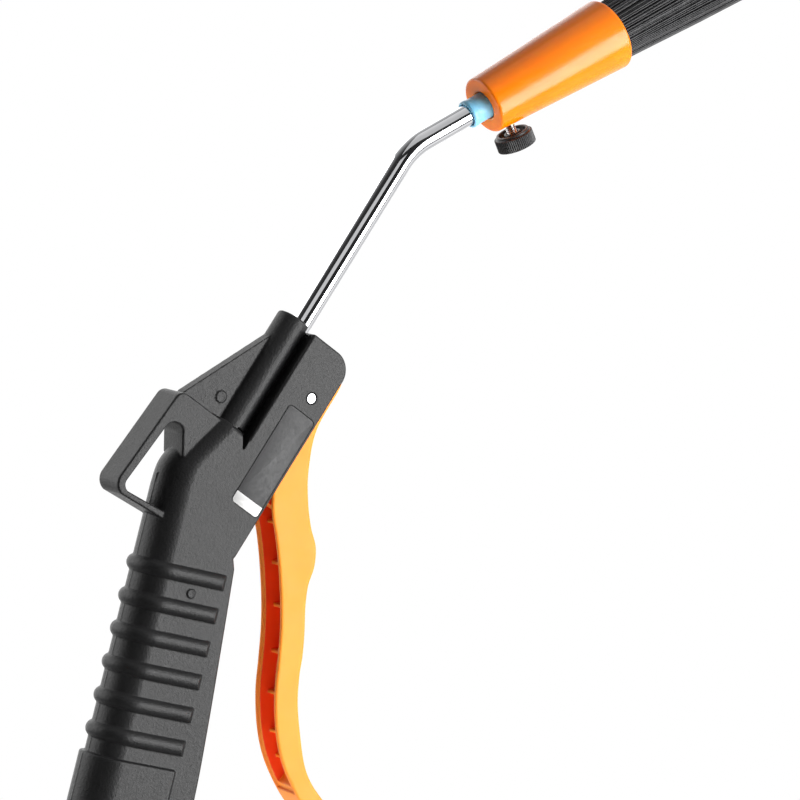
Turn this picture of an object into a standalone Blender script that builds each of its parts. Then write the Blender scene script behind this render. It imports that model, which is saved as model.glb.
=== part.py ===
"""Air duster gun: a grip with a lever valve, a bent nozzle tube and a brush head clamped on its end.

The origin is the top of the hook's arch, where the gun hangs. +Z runs up along the grip, +X points
forwards to the lever, and Y = 0 is the plane of symmetry. Lengths below are millimetres.
"""

import math

import bmesh
import bpy
from mathutils import Matrix, Vector

MM = 0.001
GAP = 0.3
MERGE = 0.00001

# Frames: the nozzle boss leans forwards from the grip, and the tube bends further forwards.
BOSS_TOP_X = 44.6
BOSS_TOP_Z = 45.2
BOSS_LEAN = math.radians(20.5)
NOZZLE_BEND = math.radians(29.0)

# Grip, in the grip frame (origin at the top of the boss, Z along the grip).
BODY_HALF = 10.5
GRIP_BOTTOM = -205.0
GRIP_REACH = 80.0
GRIP_EDGE = 1.2
SPINE_X = -43.3
BACK_DEPTH = 10.2
BACK_HALF = BODY_HALF + 0.05
RIB_RADIUS = 3.2
RIB_RISE = 1.7
RIB_TOP_Z = -97.0
RIB_PITCH = 12.2
RIB_COUNT = 6
RIB_FRONT_X = -10.8
CUFF_TOP_Z = -166.3
CUFF_RISE = 1.1
CUFF_REAR = -45.3
CUFF_FRONT_X = -11.2

# Valve block, in the boss frame (Z along the boss, X forwards).
PLATE_REAR = 1.3
PLATE_FRONT = 21.8
BLOCK_TOP = -2.0
BLOCK_BOTTOM = -85.7
BLOCK_CORNER = 8.0
BLOCK_EDGE = 0.8
SHELF_Z = -46.5
SHELF_ROUND = 2.4
POCKET_BOTTOM = -52.2
POCKET_START = 4.7
POCKET_HALF = 3.5
BOSS_RADIUS = 6.3
BOSS_X = -3.6
WEB_HALF = 2.4
SLOT_HALF = 8.2
SLOT_FLOOR = 8.0
SLOT_TOP = -4.5
SLOT_BOTTOM = -74.0
PANEL_DEPTH = 0.3
PANEL_REAR = 7.6
PANEL_FRONT = 20.6
PANEL_TOP = -28.0
PANEL_FOOT = -69.2
PANEL_CORNER = 1.6

# Hook, in the boss frame.
HOOK_HALF = 7.3
ARCH_X = -24.6
ARCH_Z = -61.5
ARCH_RADIUS = 3.8

# Lever and its pin.
PIN_X = 14.0
PIN_Z = -21.7
PIN_RADIUS = 2.0
LEVER_HALF = 7.85
LEVER_WALL = 2.2
LEVER_FRONT_WALL = 2.4
LEVER_RIB_LENGTHS = (22.0, 37.0, 52.5, 69.0, 84.5, 100.0, 111.0)
LEVER_RIB_DROP = 4.4
LEVER_RIB_FOOT = 8.6

# Valve: its axis crosses the block, and stations along it are measured forwards from the boss's axis.
VALVE_Z = -58.0
CHAMBER_RADIUS = 5.6
CHAMBER_REAR = -16.3
GLAND_REAR = 4.3
SEAT_FRONT = -0.6
SEAT_REAR = -2.6
SEAL_REAR = -4.4
POPPET_REAR = -6.0
STEM_RADIUS = 1.1
STEM_FRONT = 23.9
SPRING_RADIUS = 3.6
SPRING_WIRE = 0.6
SPRING_TURNS = 4.5
OUTLET_X = 2.0
OUTLET_RADIUS = 2.0

# Air inlet.
CHANNEL_X = -30.6
CHANNEL_RADIUS = 3.0
INLET_X = -25.0
INSERT_RADIUS = 8.5
INSERT_LENGTH = 16.0
INSERT_FOOT = -205.6
THREAD_RADIUS = 6.3
HEX_ACROSS_FLATS = 14.0
NIPPLE_BORE = 2.6

# Nozzle tube.
TUBE_RADIUS = 4.0
TUBE_WALL = 1.0
TUBE_FOOT = -45.0
BEND_RADIUS = 28.0
BEND_VERTEX = 77.4
VERTEX_TO_FACE = 35.0
TUBE_IN_HEAD = 22.0

# Brush head, in the brush frame (origin at the ferrule's small face, Z along the ferrule).
SLEEVE_RADIUS = 5.1
SLEEVE_OUT = 8.0
SLEEVE_IN = 19.0
FERRULE_SMALL = 10.9
FERRULE_BIG = 14.0
FERRULE_LENGTH = 61.0
FERRULE_WALL = 1.7
SOCKET_DEPTH = 22.0
HOLDER_START = 27.0
HOLDER_LENGTH = 9.0
BRISTLE_LENGTH = 75.0
BRISTLE_FLARE = math.radians(3.2)
AIR_HOLE = 4.2
SCREW_STATION = 7.4
SCREW_RADIUS = 1.95
KNOB_RADIUS = 7.4
KNOB_START = 15.4
KNOB_HEIGHT = 4.9
KNOB_TEETH = 40

COLLECTION = "air_duster"
MATERIALS = {
    "black_nylon": ((0.035, 0.036, 0.038, 1.0), 0.55, 0.0),
    "orange_plastic": ((0.95, 0.23, 0.01, 1.0), 0.3, 0.0),
    "blue_plastic": ((0.16, 0.55, 0.82, 1.0), 0.35, 0.0),
    "chromed_steel": ((0.82, 0.83, 0.85, 1.0), 0.08, 1.0),
    "plated_steel": ((0.6, 0.61, 0.63, 1.0), 0.25, 1.0),
    "brass": ((0.72, 0.52, 0.22, 1.0), 0.3, 1.0),
    "rubber": ((0.02, 0.02, 0.02, 1.0), 0.7, 0.0),
    "bristle_nylon": ((0.015, 0.015, 0.016, 1.0), 0.45, 0.0),
    "black_knob": ((0.03, 0.03, 0.03, 1.0), 0.4, 0.0),
    "white_nylon": ((0.75, 0.74, 0.7, 1.0), 0.5, 0.0),
}


# ---------------------------------------------------------------- scene and frames


def clear_scene():
    for thing in list(bpy.data.objects):
        bpy.data.objects.remove(thing, do_unlink=True)


def collection(name):
    made = bpy.data.collections.new(name)
    bpy.context.scene.collection.children.link(made)
    return made


def make_materials():
    for name, (colour, roughness, metallic) in MATERIALS.items():
        made = bpy.data.materials.new(name)
        made.use_nodes = True
        shader = made.node_tree.nodes["Principled BSDF"]
        shader.inputs["Base Color"].default_value = colour
        shader.inputs["Roughness"].default_value = roughness
        shader.inputs["Metallic"].default_value = metallic


def frame(name, x, y, z, turn_y=0.0, parent=None):
    """An empty at a place in its parent's frame, turned about Y."""
    empty = bpy.data.objects.new(name, None)
    bpy.data.collections[COLLECTION].objects.link(empty)
    empty.parent = parent
    empty.location = Vector((x, y, z)) * MM
    empty.rotation_euler = (0.0, turn_y, 0.0)
    return empty


def place(name, mesh, parent, slot=None):
    """An object in a frame: a finished piece with a material, or a construction shape without one."""
    made = bpy.data.objects.new(name, mesh)
    made.parent = parent
    if slot:
        bpy.data.collections[COLLECTION].objects.link(made)
        mesh.materials.append(bpy.data.materials[slot])
    else:
        bpy.data.collections["construction"].objects.link(made)
        made.hide_render = True
        made.display_type = "WIRE"
    return made


# ---------------------------------------------------------------- outlines


def arc(x, z, radius, start, end, steps):
    """Points on a circle from one angle to another, in degrees."""
    angles = [math.radians(start + (end - start) * i / steps) for i in range(steps + 1)]
    return [(x + radius * math.cos(a), z + radius * math.sin(a)) for a in angles]


def to_grip(x, z):
    """A point of the boss frame in the grip frame."""
    return (
        x * math.cos(BOSS_LEAN) + z * math.sin(BOSS_LEAN),
        -x * math.sin(BOSS_LEAN) + z * math.cos(BOSS_LEAN),
    )


def blend(t, before, start, end, after):
    """A value between start and end on a Catmull-Rom curve."""
    slope = end - before
    square = 2 * before - 5 * start + 4 * end - after
    cube = 3 * start - before - 3 * end + after
    return 0.5 * (2 * start + slope * t + square * t**2 + cube * t**3)


def smooth(points, steps):
    """A Catmull-Rom curve through the points."""
    ends = [points[0], *points, points[-1]]
    curve = []
    for a, b, c, d in zip(ends, ends[1:], ends[2:], ends[3:]):
        for i in range(steps):
            t = i / steps
            curve.append(tuple(blend(t, *values) for values in zip(a, b, c, d)))
    return [*curve, points[-1]]


def offset(points, distance):
    """The open line moved sideways: to its left for a positive distance."""
    moved = []
    for i, point in enumerate(points):
        before = Vector(points[max(i - 1, 0)])
        after = Vector(points[min(i + 1, len(points) - 1)])
        along = (after - before).normalized()
        moved.append((point[0] - along.y * distance, point[1] + along.x * distance))
    return moved


# ---------------------------------------------------------------- shapes


def mesh_of_curve(curve, parent, slot, rotation):
    """The curve as a mesh object with its caps welded and its flat faces whole."""
    raw = bpy.data.objects.new(curve.name, curve)
    bpy.context.scene.collection.objects.link(raw)
    raw.parent = parent
    raw.rotation_euler = rotation
    bpy.context.view_layer.update()
    graph = bpy.context.evaluated_depsgraph_get()
    mesh = bpy.data.meshes.new_from_object(raw.evaluated_get(graph))
    world = raw.matrix_world.copy()
    bpy.data.objects.remove(raw, do_unlink=True)
    bpy.data.curves.remove(curve)
    work = bmesh.new()
    work.from_mesh(mesh)
    bmesh.ops.remove_doubles(work, verts=work.verts, dist=MERGE)
    bmesh.ops.dissolve_limit(work, angle_limit=math.radians(0.5), verts=work.verts, edges=work.edges)
    bmesh.ops.recalc_face_normals(work, faces=work.faces)
    work.to_mesh(mesh)
    work.free()
    mesh.materials.clear()
    made = place(mesh.name, mesh, parent, slot)
    made.matrix_world = world
    return made


def slab(name, outline, half, parent, slot=None, upright=True):
    """A flat outline with thickness: across Y if upright, or along Z. Half is half the thickness."""
    curve = bpy.data.curves.new(name, "CURVE")
    curve.dimensions = "2D"
    curve.fill_mode = "BOTH"
    curve.extrude = half * MM
    spline = curve.splines.new("POLY")
    spline.points.add(len(outline) - 1)
    for point, (x, z) in zip(spline.points, outline):
        point.co = (x * MM, z * MM, 0.0, 1.0)
    spline.use_cyclic_u = True
    return mesh_of_curve(curve, parent, slot, (math.pi / 2 if upright else 0.0, 0.0, 0.0))


def rod(name, points, radius, parent, slot=None, sides=3, capped=True):
    """A round bar along a line of (x, y, z) points."""
    curve = bpy.data.curves.new(name, "CURVE")
    curve.dimensions = "3D"
    curve.bevel_depth = radius * MM
    curve.bevel_resolution = sides
    curve.use_fill_caps = capped
    curve.twist_mode = "MINIMUM"
    spline = curve.splines.new("POLY")
    spline.points.add(len(points) - 1)
    for point, place_of in zip(spline.points, points):
        point.co = (*(Vector(place_of) * MM), 1.0)
    return mesh_of_curve(curve, parent, slot, (0.0, 0.0, 0.0))


def turned(name, profile, parent, slot=None, steps=32):
    """A profile of (radius, z) points turned about Z. It is a ring if it doesn't start on the axis."""
    ring = profile[0][0] > 0
    work = bmesh.new()
    corners = [work.verts.new((r * MM, 0.0, z * MM)) for r, z in profile]
    for a, b in zip(corners, corners[1:]):
        work.edges.new((a, b))
    if ring:
        work.edges.new((corners[-1], corners[0]))
    mesh = bpy.data.meshes.new(name)
    work.to_mesh(mesh)
    work.free()
    made = place(name, mesh, parent, slot)
    screw = made.modifiers.new("turn", "SCREW")
    screw.axis = "Z"
    screw.steps = steps
    screw.render_steps = steps
    screw.use_merge_vertices = True
    screw.merge_threshold = MERGE
    return made


def cylinder(name, radius, low, high, parent, slot=None, steps=32):
    return turned(name, [(0, high), (radius, high), (radius, low), (0, low)], parent, slot, steps)


def ring(name, inner, outer, low, high, parent, slot, steps=32):
    return turned(name, [(inner, high), (outer, high), (outer, low), (inner, low)], parent, slot, steps)


def torus(name, major, minor, station, parent, slot):
    section = [(major - r, z) for r, z in arc(0, station, minor, 0, 315, 7)]
    return turned(name, section, parent, slot, 28)


def combine(target, operation, *tools):
    for tool in tools:
        step = target.modifiers.new(tool.name, "BOOLEAN")
        step.operation = operation
        step.solver = "EXACT"
        step.object = tool


def round_edges(target, width, segments, angle=50.0):
    bevel = target.modifiers.new("round", "BEVEL")
    bevel.width = width * MM
    bevel.segments = segments
    bevel.limit_method = "ANGLE"
    bevel.angle_limit = math.radians(angle)
    bevel.harden_normals = False


# ---------------------------------------------------------------- body


def spine_line(steps):
    """The back of the grip in the side view, from its foot to the shelf."""
    bend = [(SPINE_X, -68.0), (-42.2, -59.5), (-37.4, -51.2), (-31.6, -43.0), (-28.0, -38.0)]
    return [(SPINE_X, GRIP_BOTTOM), *smooth(bend, steps)]


def grip_outline():
    """The side view of the grip, past its back and past the shelf, with its front edge true."""
    front = smooth([(-8.2, -91.5), (-5.8, -117.0), (-2.9, -150.0), (-1.3, -175.0), (-1.0, GRIP_BOTTOM)], 2)
    rear = SPINE_X - 8.0
    in_block = to_grip(PLATE_REAR + 3.0, SHELF_Z + 6.5)
    return [in_block, to_grip(PLATE_FRONT, BLOCK_BOTTOM), *front, (rear, GRIP_BOTTOM), (rear, -20.0)]


def block_outline():
    """The side view of the valve block, in the boss frame."""
    corner = arc(PLATE_FRONT - BLOCK_CORNER, BLOCK_TOP - BLOCK_CORNER, BLOCK_CORNER, 90, 0, 6)
    foot = [(PLATE_FRONT, BLOCK_BOTTOM), (PLATE_REAR, BLOCK_BOTTOM + 7.7)]
    return [(PLATE_REAR, BLOCK_TOP), *corner, *foot]


def grip_section(spine, depth, half, front):
    """The plan view of the grip: flat sides and a back that is half an ellipse."""
    start = spine + depth
    back = [
        (start - depth * math.sin(a), half * math.cos(a))
        for a in (math.pi * i / 18 for i in range(19))
    ]
    return [(front, half), *back, (front, -half)]


def make_grip_loft(grip):
    """The grip's round back: sections along the spine line, as a solid that reaches far forwards."""
    work = bmesh.new()
    rings = []
    for x, z in spine_line(3):
        section = grip_section(x, BACK_DEPTH, BACK_HALF, GRIP_REACH)
        rings.append([work.verts.new(Vector((a, b, z)) * MM) for a, b in section])
    for low, high in zip(rings, rings[1:]):
        for i in range(len(low)):
            work.faces.new((low[i - 1], low[i], high[i], high[i - 1]))
    work.faces.new(rings[0])
    work.faces.new(rings[-1][::-1])
    bmesh.ops.recalc_face_normals(work, faces=work.faces)
    mesh = bpy.data.meshes.new("grip_loft")
    work.to_mesh(mesh)
    work.free()
    return place("grip_loft", mesh, grip)


def make_shelf(boss):
    """Everything below the round-edged shelf where the grip ends behind the block."""
    far_x, far_z = 70.0, -320.0
    outline = [(-far_x, SHELF_Z), (far_x, SHELF_Z), (far_x, far_z), (-far_x, far_z)]
    shelf = slab("shelf", outline, BODY_HALF, boss)
    round_edges(shelf, SHELF_ROUND, 3)
    return shelf


def hook_outline():
    """The side view of the hook: a band from the shelf down, round a corner and back to the grip."""
    outer = [(0.0, -47.2), *arc(-27.8, -50.9, 3.7, 90, 175, 5)]
    outer += arc(-28.6, -85.2, 5.2, 183, 262, 5)
    outer += [(-8.0, -88.6)]
    inner = [(-8.0, -86.0), *arc(-27.4, -85.0, 3.0, 265, 185, 5)]
    inner += arc(ARCH_X, ARCH_Z, ARCH_RADIUS, 172, 20, 8)
    inner += [(-16.8, -66.2), (-8.0, -70.0)]
    return [*outer, *inner]


def make_ribs(grip):
    """Six half-round ribs that wrap the back and slope into the sides at their front ends."""
    depth = RIB_RADIUS - RIB_RISE
    section = grip_section(SPINE_X + depth, BACK_DEPTH - depth, BACK_HALF - depth, RIB_FRONT_X)
    sunk = BACK_HALF - depth - RIB_RADIUS
    path = [(RIB_FRONT_X + depth, sunk), *section, (RIB_FRONT_X + depth, -sunk)]
    ribs = []
    for i in range(RIB_COUNT):
        z = RIB_TOP_Z - i * RIB_PITCH
        ribs.append(rod(f"rib_{i + 1}", [(x, y, z) for x, y in path], RIB_RADIUS, grip))
    return ribs


def make_cuff(grip):
    """The thicker band round the back and the sides at the foot of the grip."""
    section = grip_section(CUFF_REAR, BACK_DEPTH + 1.5, BACK_HALF + CUFF_RISE, CUFF_FRONT_X - 2.0)
    outline = [(CUFF_FRONT_X, BACK_HALF - 1.0), *section, (CUFF_FRONT_X, 1.0 - BACK_HALF)]
    middle = (CUFF_TOP_Z + GRIP_BOTTOM) / 2
    cuff = slab("cuff", outline, (CUFF_TOP_Z - GRIP_BOTTOM) / 2, grip, upright=False)
    cuff.location.z += middle * MM
    round_edges(cuff, 0.8, 2, 60.0)
    return cuff


def make_body(grip, boss, valve):
    body = slab("body", grip_outline(), BODY_HALF, grip, "black_nylon")
    round_edges(body, GRIP_EDGE, 2)
    combine(body, "INTERSECT", make_grip_loft(grip), make_shelf(boss))
    block = slab("block", block_outline(), BODY_HALF, boss)
    round_edges(block, BLOCK_EDGE, 2)

    profile = [(0, 0), (BOSS_RADIUS - 1, 0), (BOSS_RADIUS, -1), (BOSS_RADIUS, -62), (0, -62)]
    boss_shape = turned("boss", profile, boss, steps=36)
    boss_shape.location.x = BOSS_X * MM
    sail = [(-28.2, -50.0), (-27.2, -46.0), (-5.5, -2.6), (2.0, -2.6), (2.0, -50.0)]
    web = slab("web", sail, WEB_HALF, boss)
    hook = slab("hook", hook_outline(), HOOK_HALF, boss)
    round_edges(hook, 0.6, 1)
    combine(body, "UNION", block, boss_shape, web, hook, make_cuff(grip), *make_ribs(grip))

    slot = slab(
        "slot",
        [(SLOT_FLOOR, SLOT_TOP), (40.0, SLOT_TOP), (40.0, SLOT_BOTTOM), (SLOT_FLOOR, SLOT_BOTTOM + 8.0)],
        SLOT_HALF,
        boss,
    )
    tube_bore = cylinder("tube_bore", TUBE_RADIUS + GAP, TUBE_FOOT - 2.2, 5.0, boss)
    outlet = cylinder("outlet", OUTLET_RADIUS, VALVE_Z, TUBE_FOOT, boss, steps=20)
    outlet.location.x = OUTLET_X * MM
    chamber = cylinder("chamber", CHAMBER_RADIUS, CHAMBER_REAR, SLOT_FLOOR + 1.0, valve)
    channel = cylinder("channel", CHANNEL_RADIUS, -195.0, -52.0, grip, steps=24)
    channel.location.x = CHANNEL_X * MM
    pocket_top = INSERT_FOOT + INSERT_LENGTH + GAP
    pocket = cylinder("pocket", INSERT_RADIUS + GAP, GRIP_BOTTOM - 5, pocket_top, grip)
    pocket.location.x = INLET_X * MM
    pin_hole = slab("pin_hole", arc(PIN_X, PIN_Z, PIN_RADIUS + GAP, 0, 345, 23), 15.0, boss)
    panel = slab("panel", panel_outline(), PANEL_DEPTH, boss)
    panel.location.y -= BODY_HALF * MM
    cuts = [slot, tube_bore, outlet, chamber, channel, pocket, pin_hole, panel, *make_shelf_pockets(boss)]
    combine(body, "DIFFERENCE", *cuts)


def make_shelf_pockets(boss):
    """Two wedge-shaped pockets in the shelf, against the block, on both sides of the boss."""
    wedge = [(-3.4, SHELF_Z + 1.0), (PLATE_REAR, SHELF_Z + 1.0), (PLATE_REAR, POCKET_BOTTOM)]
    pockets = []
    for side in (-1, 1):
        pocket = slab("shelf_pocket", wedge, POCKET_HALF, boss)
        pocket.location.y += side * (POCKET_START + POCKET_HALF) * MM
        pockets.append(pocket)
    return pockets


def panel_outline():
    """A shallow round-cornered recess for a rating plate, on the block's left side."""
    outline = arc(PANEL_FRONT - PANEL_CORNER, PANEL_TOP - PANEL_CORNER, PANEL_CORNER, 90, 0, 3)
    outline += arc(PANEL_FRONT - PANEL_CORNER, PANEL_FOOT + PANEL_CORNER, PANEL_CORNER, 0, -90, 3)
    outline += arc(PANEL_REAR + PANEL_CORNER, PANEL_FOOT + PANEL_CORNER, PANEL_CORNER, -90, -180, 3)
    outline += arc(PANEL_REAR + PANEL_CORNER, PANEL_TOP - PANEL_CORNER, PANEL_CORNER, 180, 90, 3)
    return outline


# ---------------------------------------------------------------- lever


def lever_front():
    """The finger side of the lever from its top to its tip, in the grip frame."""
    top = [to_grip(20.5, -7.6), to_grip(23.6, -10.6)]
    reach = [
        (12.9, -35.6), (13.6, -50.3), (16.4, -61.0), (20.4, -70.4), (24.4, -77.0), (25.9, -84.2),
        (25.3, -91.4), (26.3, -99.1), (28.6, -108.5), (30.2, -117.0), (30.9, -124.0), (33.0, -134.0),
        (37.0, -144.5), (42.0, -155.3), (47.0, -161.8), (54.2, -167.6),
    ]  # fmt: skip
    return smooth([*top, *reach], 3)


def lever_back():
    """The open side of the lever from its top to its tip, in the grip frame."""
    top = [to_grip(13.0, -9.5), to_grip(9.2, -15.5), to_grip(8.9, -23.0), to_grip(11.6, -34.0)]
    reach = [
        to_grip(18.4, -50.0), (2.4, -66.8), (7.3, -77.6), (11.2, -87.0), (15.5, -99.2), (18.6, -110.5),
        (20.8, -122.0), (23.0, -134.0), (27.4, -147.0), (33.2, -157.4), (41.8, -167.2), (49.8, -174.0),
    ]  # fmt: skip
    return smooth([*top, *reach], 3)


def walk(points, distance):
    """The point at a distance along an open line, and the line's direction there."""
    for a, b in zip(points, points[1:]):
        step = Vector(b) - Vector(a)
        if distance <= step.length:
            return Vector(a) + step.normalized() * distance, step.normalized()
        distance -= step.length
    raise ValueError("the line is shorter than the distance")


def make_lever(grip, lever_frame):
    front = lever_front()
    back = lever_back()
    lever = slab("lever", [*front, *reversed(back)], LEVER_HALF, grip, "orange_plastic")
    round_edges(lever, 1.0, 2)

    channel_front = offset(front, -LEVER_FRONT_WALL)[4:-4]
    channel_back = offset(back, -6.0)[9:-3]
    hollow = [*channel_front, *reversed(channel_back)]
    combine(lever, "DIFFERENCE", slab("lever_channel", hollow, LEVER_HALF - LEVER_WALL, grip))

    hub = slab("lever_hub", arc(*to_grip(PIN_X, PIN_Z), 4.3, 0, 345, 23), LEVER_HALF - 1.0, grip)
    hub_web = slab("lever_hub_web", lever_hub_web(), 1.2, grip)
    pad = slab("lever_pad", lever_pad(), 3.0, grip)
    ribs = []
    for i, length in enumerate(LEVER_RIB_LENGTHS):
        ribs.append(make_lever_rib(f"lever_rib_{i + 1}", back[12:], length, grip))
    combine(lever, "UNION", hub, hub_web, pad, *ribs)
    bore = slab("lever_bore", arc(*to_grip(PIN_X, PIN_Z), PIN_RADIUS + GAP, 0, 345, 23), 12.0, grip)
    combine(lever, "DIFFERENCE", bore)
    move_origin(lever, lever_frame)


def lever_hub_web():
    """A rib from the hub to the finger wall."""
    return [to_grip(x, z) for x, z in ((14.0, -23.5), (14.0, -19.5), (22.8, -19.5), (22.8, -23.5))]


def lever_pad():
    """The block inside the lever that pushes the valve stem."""
    front = STEM_FRONT + GAP
    low, high = VALVE_Z - 2.6, VALVE_Z + 2.6
    return [to_grip(x, z) for x, z in ((front, low), (front, high), (38.0, high), (41.0, low))]


def make_lever_rib(name, back, length, grip):
    """A thin plate across the lever's channel, deep between the channel's walls."""
    at, along = walk(back, length)
    inward = Vector((-along.y, along.x))
    near = at + inward * LEVER_RIB_DROP
    far = at + inward * LEVER_RIB_FOOT
    half = along * 0.6
    outline = [tuple(near - half), tuple(near + half), tuple(far + half), tuple(far - half)]
    return slab(name, outline, LEVER_HALF - 1.0, grip)


def move_origin(thing, new_parent):
    """Hangs an object from another frame and takes its origin, but leaves the object where it is."""
    bpy.context.view_layer.update()
    shift = new_parent.matrix_world.inverted() @ thing.matrix_world
    thing.data.transform(shift)
    thing.parent = new_parent
    thing.matrix_parent_inverse = Matrix.Identity(4)
    thing.matrix_basis = Matrix.Identity(4)


def make_pin(lever_frame):
    outline = arc(0, 0, PIN_RADIUS, 0, 345, 23)
    slab("lever_pin", outline, BODY_HALF - 0.1, lever_frame, "plated_steel")


# ---------------------------------------------------------------- valve


def make_valve(valve):
    """The cartridge, with stations along the valve's axis, +Z forwards."""
    ring("valve_seat", 2.6, CHAMBER_RADIUS - GAP, SEAT_REAR, SEAT_FRONT, valve, "brass")
    turned(
        "poppet_seal",
        [
            (STEM_RADIUS + GAP, SEAT_REAR - GAP),
            (4.2, SEAT_REAR - GAP),
            (4.2, SEAL_REAR),
            (STEM_RADIUS + GAP, SEAL_REAR),
        ],
        valve,
        "rubber",
        28,
    )
    cylinder("valve_poppet", 4.4, POPPET_REAR, SEAL_REAR - GAP, valve, "brass", 28)
    turned(
        "valve_stem",
        [
            (0, STEM_FRONT), (1.4, STEM_FRONT), (1.8, STEM_FRONT - 0.5), (1.8, STEM_FRONT - 3),
            (STEM_RADIUS, STEM_FRONT - 4), (STEM_RADIUS, SEAL_REAR + 0.2), (0, SEAL_REAR + 0.2),
        ],
        valve,
        "plated_steel",
        24,
    )  # fmt: skip
    gland_front = SLOT_FLOOR + 2.0
    turned(
        "gland_nut",
        [
            (STEM_RADIUS + GAP, gland_front), (5.0, gland_front), (5.4, gland_front - 0.4),
            (5.3, SLOT_FLOOR), (5.3, 6.9), (4.3, 6.9), (4.3, 5.0), (5.3, 5.0), (5.3, GLAND_REAR),
            (2.7, GLAND_REAR), (2.7, 6.4), (STEM_RADIUS + GAP, 6.4),
        ],
        valve,
        "brass",
    )  # fmt: skip
    torus("stem_o_ring", 2.05, 0.55, 5.5, valve, "rubber")
    torus("gland_o_ring", 4.95, 0.42, 5.95, valve, "rubber")
    make_spring(valve)


def make_spring(valve):
    """A coil from the chamber's rear wall to the back of the poppet."""
    rear = CHAMBER_REAR + GAP + SPRING_WIRE / 2
    front = POPPET_REAR - GAP - SPRING_WIRE / 2
    steps = int(SPRING_TURNS * 12)
    points = []
    for i in range(steps + 1):
        turn = 2 * math.pi * SPRING_TURNS * i / steps
        z = rear + (front - rear) * i / steps
        points.append((SPRING_RADIUS * math.cos(turn), SPRING_RADIUS * math.sin(turn), z))
    rod("valve_spring", points, SPRING_WIRE / 2, valve, "plated_steel", sides=2)


# ---------------------------------------------------------------- air inlet


def make_inlet(inlet):
    """The brass insert, the washer and the hose nipple, on the inlet's axis with Z up."""
    top = INSERT_FOOT + INSERT_LENGTH
    turned(
        "inlet_insert",
        [
            (4.4, top), (INSERT_RADIUS, top), (INSERT_RADIUS, INSERT_FOOT),
            (THREAD_RADIUS + GAP, INSERT_FOOT),
            (THREAD_RADIUS + GAP, INSERT_FOOT + 11), (4.4, INSERT_FOOT + 12),
        ],
        inlet,
        "brass",
    )  # fmt: skip
    washer_top = INSERT_FOOT - GAP
    ring("inlet_washer", THREAD_RADIUS + GAP, 8.3, washer_top - 1.2, washer_top, inlet, "white_nylon")
    hex_top = washer_top - 1.2 - GAP
    across_corners = HEX_ACROSS_FLATS / math.cos(math.pi / 6)
    hexagon = arc(0, 0, across_corners / 2, 0, 300, 5)
    nut = slab("nipple_hex", hexagon, 2.75, inlet, "plated_steel", upright=False)
    nut.location.z += (hex_top - 2.75) * MM
    nut.name = "hose_nipple"
    foot = hex_top - 5.5
    plug = turned(
        "nipple_plug",
        [
            (0, INSERT_FOOT + 10), (THREAD_RADIUS - 0.6, INSERT_FOOT + 10),
            (THREAD_RADIUS, INSERT_FOOT + 9.2),
            (THREAD_RADIUS, foot - 1), (4.6, foot - 2), (4.6, foot - 6.5), (5.9, foot - 8),
            (5.9, foot - 10.5), (4.0, foot - 12.5), (4.0, foot - 15.5), (4.9, foot - 16.5),
            (4.9, foot - 21), (4.2, foot - 22.5), (0, foot - 22.5),
        ],
        inlet,
    )  # fmt: skip
    combine(nut, "UNION", plug)
    bore = cylinder("nipple_bore", NIPPLE_BORE, foot - 30, INSERT_FOOT + 20, inlet, steps=24)
    combine(nut, "DIFFERENCE", bore)


# ---------------------------------------------------------------- nozzle


def nozzle_path():
    """The tube's centre line in the boss frame: straight, an arc, straight."""
    cut = BEND_RADIUS * math.tan(NOZZLE_BEND / 2)
    bend_start = BEND_VERTEX - cut
    points = [(0.0, 0.0, TUBE_FOOT)]
    steps = 10
    for i in range(steps + 1):
        angle = NOZZLE_BEND * i / steps
        out = BEND_RADIUS * (1 - math.cos(angle))
        points.append((out, 0.0, bend_start + BEND_RADIUS * math.sin(angle)))
    reach = VERTEX_TO_FACE + TUBE_IN_HEAD
    points.append((reach * math.sin(NOZZLE_BEND), 0.0, BEND_VERTEX + reach * math.cos(NOZZLE_BEND)))
    return points


def make_nozzle(boss):
    tube = rod("nozzle_tube", nozzle_path(), TUBE_RADIUS, boss, "chromed_steel", sides=6, capped=False)
    wall = tube.modifiers.new("wall", "SOLIDIFY")
    wall.thickness = TUBE_WALL * MM
    wall.offset = -1.0
    torus("nozzle_o_ring", 3.15, 0.8, TUBE_FOOT - 1.15, boss, "rubber")


# ---------------------------------------------------------------- brush head


def ferrule_radius(station):
    return FERRULE_SMALL + (FERRULE_BIG - FERRULE_SMALL) * station / FERRULE_LENGTH


def make_sleeve(brush):
    turned(
        "nozzle_sleeve",
        [
            (TUBE_RADIUS + GAP, SLEEVE_IN), (SLEEVE_RADIUS, SLEEVE_IN), (SLEEVE_RADIUS, 1 - SLEEVE_OUT),
            (SLEEVE_RADIUS - 0.3, 0.3 - SLEEVE_OUT), (TUBE_RADIUS + GAP, -SLEEVE_OUT),
        ],
        brush,
        "blue_plastic",
    )  # fmt: skip


def make_ferrule(brush, screw):
    ferrule = turned(
        "brush_ferrule",
        [
            (ferrule_radius(FERRULE_LENGTH) - FERRULE_WALL, FERRULE_LENGTH),
            (FERRULE_BIG - 0.5, FERRULE_LENGTH),
            (FERRULE_BIG, FERRULE_LENGTH - 0.8),
            (ferrule_radius(1.4), 1.4),
            (FERRULE_SMALL - 0.5, 0.4),
            (FERRULE_SMALL - 1.5, 0),
            (SLEEVE_RADIUS + GAP, 0),
            (SLEEVE_RADIUS + GAP, SOCKET_DEPTH),
            (ferrule_radius(SOCKET_DEPTH + 2) - FERRULE_WALL, SOCKET_DEPTH + 2),
        ],
        brush,
        "orange_plastic",
        44,
    )
    hole = cylinder("insert_hole", 3.3 + GAP, 2.0, 14.0, screw)
    combine(ferrule, "DIFFERENCE", hole)


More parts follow.
